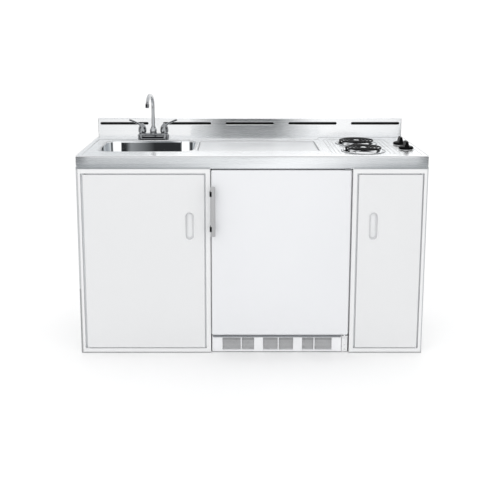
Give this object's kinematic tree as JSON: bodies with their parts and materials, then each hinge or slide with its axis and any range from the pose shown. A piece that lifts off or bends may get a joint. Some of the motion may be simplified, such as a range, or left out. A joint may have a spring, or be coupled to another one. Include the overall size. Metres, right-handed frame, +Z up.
{
  "type": "kitchenette unit",
  "caption": "Free-standing compact kitchen: stainless top with sink, faucet, work area and coil hob over white cabinets and an undercounter refrigerator.",
  "frame": {"origin": "middle of the footprint, on the floor", "axes": "+Z up, +X along the width towards the hob, -Y out of the front"},
  "size_m": [1.524, 0.687, 1.1216],
  "materials": {
    "steel_top": "brushed stainless sheet",
    "steel_bowl": "polished stainless",
    "chrome": "polished chrome",
    "zinc": "zinc plated steel",
    "cabinet_white": "satin white enamel",
    "fridge_white": "semi-gloss white enamel",
    "white_plastic": "moulded white plastic",
    "liner_plastic": "vacuum formed white plastic",
    "handle_grey": "satin grey",
    "black_plastic": "black moulded plastic",
    "element_black": "oxidised black element sheath",
    "enamel_black": "black paint on steel",
    "gasket": "soft pale grey seal",
    "clear": "clear"
  },
  "bodies": {
    "unit": {"backsplash": "steel_top", "coil_socket_front": "white_plastic", "coil_socket_rear": "white_plastic", "compressor": "enamel_black", "condenser": "enamel_black", "countertop": "steel_top", "crisper_cover": "clear", "drip_pan_front": "chrome", "drip_pan_rear": "chrome", "faucet_body": "chrome", "freezer_box": "liner_plastic", "fridge_base_rail_left": "zinc", "fridge_base_rail_right": "zinc", "fridge_case": "fridge_white", "fridge_liner": "liner_plastic", "fridge_lower_hinge": "zinc", "fridge_shelf": "clear", "fridge_upper_hinge": "zinc", "kick_grille": "white_plastic", "left_back_panel": "cabinet_white", "left_door_pin_lower": "zinc", "left_door_pin_upper": "zinc", "left_face_frame": "cabinet_white", "left_floor_panel": "cabinet_white", "left_inner_side": "cabinet_white", "left_outer_side": "cabinet_white", "right_back_panel": "cabinet_white", "right_door_pin_lower": "zinc", "right_door_pin_upper": "zinc", "right_face_frame": "cabinet_white", "right_floor_panel": "cabinet_white", "right_inner_side": "cabinet_white", "right_outer_side": "cabinet_white", "sink_bowl": "steel_bowl", "sink_drain": "chrome", "switch_front": "black_plastic", "switch_rear": "black_plastic"},
    "left_door": {"left_door_panel": "cabinet_white", "left_door_pull": "white_plastic"},
    "right_door": {"right_door_panel": "cabinet_white", "right_door_pull": "white_plastic"},
    "fridge_door": {"fridge_door_skin": "fridge_white", "fridge_door_liner": "liner_plastic", "fridge_door_gasket": "gasket", "handle_bar": "handle_grey", "handle_mount_upper": "black_plastic", "handle_mount_lower": "black_plastic"},
    "spout": {"faucet_spout": "chrome"},
    "hot_lever": {"hot_handle": "chrome"},
    "cold_lever": {"cold_handle": "chrome"},
    "front_coil": {"coil_front": "element_black"},
    "rear_coil": {"coil_rear": "element_black"},
    "front_shaft": {"switch_shaft_front": "zinc"},
    "rear_shaft": {"switch_shaft_rear": "zinc"},
    "front_knob": {"knob_front": "black_plastic"},
    "rear_knob": {"knob_rear": "black_plastic"},
    "basket": {"strainer_basket": "chrome"},
    "crisper": {"crisper_drawer": "clear"},
    "flap": {"freezer_flap": "white_plastic"},
    "dial": {"thermostat_dial": "white_plastic"}
  },
  "joints": [
    {"name": "left_door_hinge", "type": "hinge", "parent": "unit", "child": "left_door", "pos_m": [-0.725, -0.2845, 0.42], "axis": [0, 0, -1], "range_deg": [0, 110]},
    {"name": "right_door_hinge", "type": "hinge", "parent": "unit", "child": "right_door", "pos_m": [0.73, -0.2845, 0.42], "axis": [0, 0, 1], "range_deg": [0, 110]},
    {"name": "fridge_door_hinge", "type": "hinge", "parent": "unit", "child": "fridge_door", "pos_m": [0.415, -0.2955, 0.46], "axis": [0, 0, 1], "range_deg": [0, 120]},
    {"name": "spout_swivel", "type": "hinge", "parent": "unit", "child": "spout", "pos_m": [-0.4775, 0.2465, 0.95], "axis": [0, 0, 1], "range_deg": [-82, 97]},
    {"name": "hot_lever_turn", "type": "hinge", "parent": "unit", "child": "hot_lever", "pos_m": [-0.5315, 0.2465, 0.94], "axis": [0, 0, 1], "range_deg": [0, 90]},
    {"name": "cold_lever_turn", "type": "hinge", "parent": "unit", "child": "cold_lever", "pos_m": [-0.4235, 0.2465, 0.94], "axis": [0, 0, -1], "range_deg": [0, 90]},
    {"name": "front_coil_tilt", "type": "hinge", "parent": "unit", "child": "front_coil", "pos_m": [0.417, -0.1035, 0.872], "axis": [0, -1, 0], "range_deg": [0, 18]},
    {"name": "rear_coil_tilt", "type": "hinge", "parent": "unit", "child": "rear_coil", "pos_m": [0.417, 0.1205, 0.872], "axis": [0, -1, 0], "range_deg": [0, 18]},
    {"name": "front_knob_push", "type": "slide", "parent": "unit", "child": "front_shaft", "axis": [0, 0, -1], "range_m": [0, 0.0025], "stiffness_N_per_m": 600, "springref_m": -0.004},
    {"name": "front_knob_turn", "type": "hinge", "parent": "front_shaft", "child": "front_knob", "pos_m": [0.705, -0.0825, 0.9], "axis": [0, 0, -1], "range_deg": [0, 330]},
    {"name": "rear_knob_push", "type": "slide", "parent": "unit", "child": "rear_shaft", "axis": [0, 0, -1], "range_m": [0, 0.0025], "stiffness_N_per_m": 600, "springref_m": -0.004},
    {"name": "rear_knob_turn", "type": "hinge", "parent": "rear_shaft", "child": "rear_knob", "pos_m": [0.705, 0.0535, 0.9], "axis": [0, 0, -1], "range_deg": [0, 330]},
    {"name": "basket_lift", "type": "slide", "parent": "unit", "child": "basket", "axis": [0, 0, 1], "range_m": [0, 0.1]},
    {"name": "crisper_slide", "type": "slide", "parent": "unit", "child": "crisper", "axis": [0, -1, 0], "range_m": [0, 0.09]},
    {"name": "freezer_flap_hinge", "type": "hinge", "parent": "unit", "child": "flap", "pos_m": [0.127, -0.1085, 0.783], "axis": [-1, 0, 0], "range_deg": [0, 85]},
    {"name": "thermostat_turn", "type": "hinge", "parent": "unit", "child": "dial", "pos_m": [0.39, -0.1235, 0.6], "axis": [1, 0, 0], "range_deg": [0, 300]}
  ]
}
